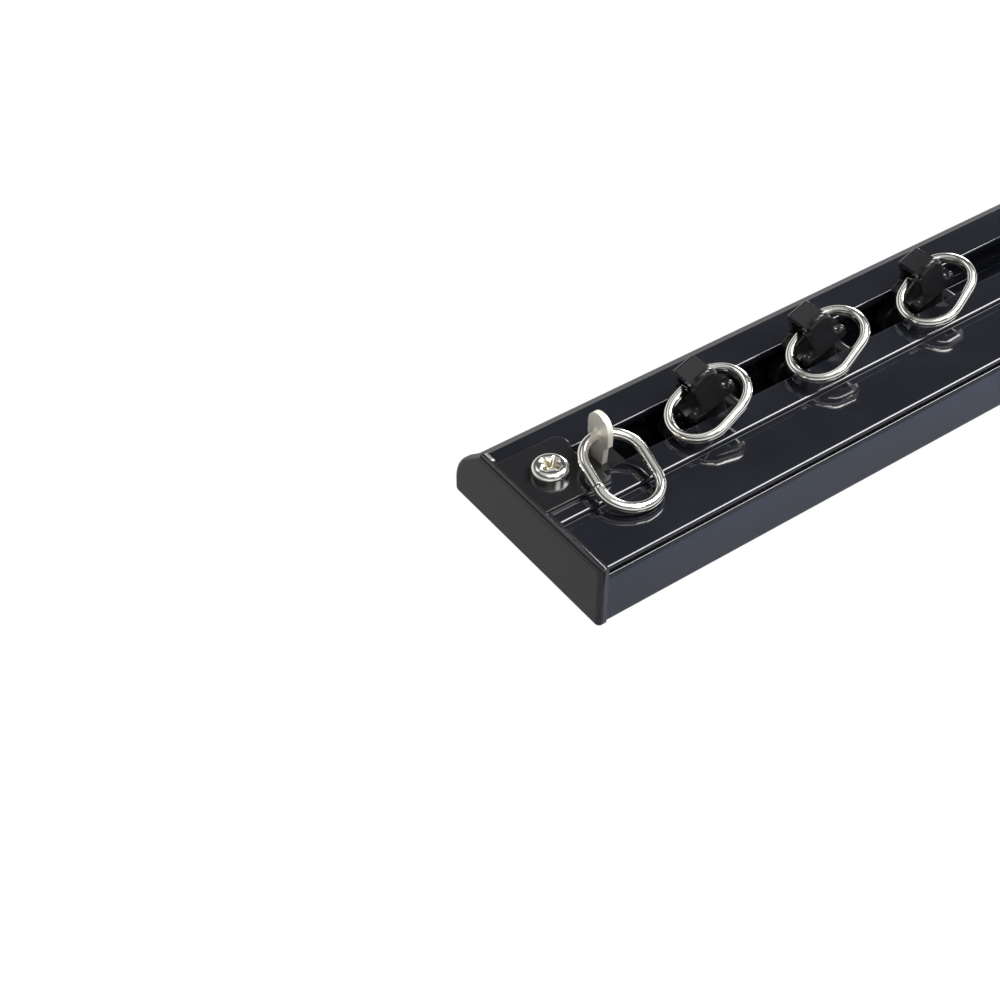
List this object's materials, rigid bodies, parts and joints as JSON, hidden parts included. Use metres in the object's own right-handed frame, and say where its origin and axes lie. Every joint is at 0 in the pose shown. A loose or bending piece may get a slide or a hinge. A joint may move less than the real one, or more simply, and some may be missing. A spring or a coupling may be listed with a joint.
{
  "type": "curtain track",
  "caption": "Short aluminium ceiling curtain track with end caps, roller carriers whose snap hooks hold wire rings, and a fixed eyelet with a ring at each end.",
  "frame": {"origin": "centre of the mounting face", "axes": "+X along the track, +Y across it to the bevelled side, +Z out of the slot"},
  "size_m": [0.3, 0.0474, 0.0267],
  "materials": {
    "rail_paint": "semi-gloss black powder coat",
    "cap_plastic": "fine satin charcoal",
    "blackened_steel": "black oxide",
    "nickel_screw": "nickel plate",
    "nickel_plate": "tumbled nickel plate",
    "nickel_wire": "bright nickel plate",
    "hook_plastic": "semi-gloss black",
    "axle_steel": "plain drawn steel",
    "wheel_plastic": "semi-gloss black"
  },
  "bodies": {
    "track": {"rail": "rail_paint", "end_cap_left": "cap_plastic", "clamp_plate_left": "blackened_steel", "cap_screw_left": "nickel_screw", "eyelet_plate_left": "nickel_plate", "end_cap_right": "cap_plastic", "clamp_plate_right": "blackened_steel", "cap_screw_right": "nickel_screw", "eyelet_plate_right": "nickel_plate"},
    "eyelet_ring_left": {"eyelet_ring_left": "nickel_wire"},
    "eyelet_ring_right": {"eyelet_ring_right": "nickel_wire"},
    "wheel_1_rear_near": {"wheel_1_rear_near": "wheel_plastic"},
    "wheel_1_rear_far": {"wheel_1_rear_far": "wheel_plastic"},
    "wheel_1_front_near": {"wheel_1_front_near": "wheel_plastic"},
    "wheel_1_front_far": {"wheel_1_front_far": "wheel_plastic"},
    "carrier_1": {"carrier_1": "hook_plastic", "axle_1_rear": "axle_steel", "axle_1_front": "axle_steel"},
    "ring_1": {"ring_1": "nickel_wire"},
    "wheel_2_rear_near": {"wheel_2_rear_near": "wheel_plastic"},
    "wheel_2_rear_far": {"wheel_2_rear_far": "wheel_plastic"},
    "wheel_2_front_near": {"wheel_2_front_near": "wheel_plastic"},
    "wheel_2_front_far": {"wheel_2_front_far": "wheel_plastic"},
    "carrier_2": {"carrier_2": "hook_plastic", "axle_2_rear": "axle_steel", "axle_2_front": "axle_steel"},
    "ring_2": {"ring_2": "nickel_wire"},
    "wheel_3_rear_near": {"wheel_3_rear_near": "wheel_plastic"},
    "wheel_3_rear_far": {"wheel_3_rear_far": "wheel_plastic"},
    "wheel_3_front_near": {"wheel_3_front_near": "wheel_plastic"},
    "wheel_3_front_far": {"wheel_3_front_far": "wheel_plastic"},
    "carrier_3": {"carrier_3": "hook_plastic", "axle_3_rear": "axle_steel", "axle_3_front": "axle_steel"},
    "ring_3": {"ring_3": "nickel_wire"}
  },
  "joints": [
    {"name": "eyelet_ring_left_swing", "type": "hinge", "parent": "track", "child": "eyelet_ring_left", "pos_m": [-0.12987, 0.00255, 0.0197], "axis": [-1, 0, 0], "range_deg": [0, 140]},
    {"name": "eyelet_ring_right_swing", "type": "hinge", "parent": "track", "child": "eyelet_ring_right", "pos_m": [0.12987, 0.00255, 0.0197], "axis": [-1, 0, 0], "range_deg": [0, 140]},
    {"name": "carrier_1_slide", "type": "slide", "parent": "track", "child": "carrier_1", "axis": [1, 0, 0], "range_m": [-0.0038, 0.05]},
    {"name": "wheel_1_rear_near_spin", "type": "hinge", "parent": "carrier_1", "child": "wheel_1_rear_near", "pos_m": [-0.10522, 0.00255, 0.00563], "axis": [0, 1, 0], "continuous": true},
    {"name": "wheel_1_rear_far_spin", "type": "hinge", "parent": "carrier_1", "child": "wheel_1_rear_far", "pos_m": [-0.10522, 0.00255, 0.00563], "axis": [0, 1, 0], "continuous": true},
    {"name": "wheel_1_front_near_spin", "type": "hinge", "parent": "carrier_1", "child": "wheel_1_front_near", "pos_m": [-0.09498, 0.00255, 0.00967], "axis": [0, 1, 0], "continuous": true},
    {"name": "wheel_1_front_far_spin", "type": "hinge", "parent": "carrier_1", "child": "wheel_1_front_far", "pos_m": [-0.09498, 0.00255, 0.00967], "axis": [0, 1, 0], "continuous": true},
    {"name": "ring_1_swing", "type": "hinge", "parent": "carrier_1", "child": "ring_1", "pos_m": [-0.10525, 0.00255, 0.02068], "axis": [-0.9301, 0, -0.3673], "range_deg": [0, 180]},
    {"name": "carrier_2_slide", "type": "slide", "parent": "carrier_1", "child": "carrier_2", "axis": [1, 0, 0], "range_m": [-0.0091, 0.05]},
    {"name": "wheel_2_rear_near_spin", "type": "hinge", "parent": "carrier_2", "child": "wheel_2_rear_near", "pos_m": [-0.07472, 0.00255, 0.00563], "axis": [0, 1, 0], "continuous": true},
    {"name": "wheel_2_rear_far_spin", "type": "hinge", "parent": "carrier_2", "child": "wheel_2_rear_far", "pos_m": [-0.07472, 0.00255, 0.00563], "axis": [0, 1, 0], "continuous": true},
    {"name": "wheel_2_front_near_spin", "type": "hinge", "parent": "carrier_2", "child": "wheel_2_front_near", "pos_m": [-0.06448, 0.00255, 0.00967], "axis": [0, 1, 0], "continuous": true},
    {"name": "wheel_2_front_far_spin", "type": "hinge", "parent": "carrier_2", "child": "wheel_2_front_far", "pos_m": [-0.06448, 0.00255, 0.00967], "axis": [0, 1, 0], "continuous": true},
    {"name": "ring_2_swing", "type": "hinge", "parent": "carrier_2", "child": "ring_2", "pos_m": [-0.07475, 0.00255, 0.02068], "axis": [-0.9301, 0, -0.3673], "range_deg": [0, 180]},
    {"name": "carrier_3_slide", "type": "slide", "parent": "carrier_2", "child": "carrier_3", "axis": [1, 0, 0], "range_m": [-0.0092, 0.05]},
    {"name": "wheel_3_rear_near_spin", "type": "hinge", "parent": "carrier_3", "child": "wheel_3_rear_near", "pos_m": [-0.04292, 0.00255, 0.00563], "axis": [0, 1, 0], "continuous": true},
    {"name": "wheel_3_rear_far_spin", "type": "hinge", "parent": "carrier_3", "child": "wheel_3_rear_far", "pos_m": [-0.04292, 0.00255, 0.00563], "axis": [0, 1, 0], "continuous": true},
    {"name": "wheel_3_front_near_spin", "type": "hinge", "parent": "carrier_3", "child": "wheel_3_front_near", "pos_m": [-0.03268, 0.00255, 0.00967], "axis": [0, 1, 0], "continuous": true},
    {"name": "wheel_3_front_far_spin", "type": "hinge", "parent": "carrier_3", "child": "wheel_3_front_far", "pos_m": [-0.03268, 0.00255, 0.00967], "axis": [0, 1, 0], "continuous": true},
    {"name": "ring_3_swing", "type": "hinge", "parent": "carrier_3", "child": "ring_3", "pos_m": [-0.04295, 0.00255, 0.02068], "axis": [-0.9301, 0, -0.3673], "range_deg": [0, 180]}
  ]
}
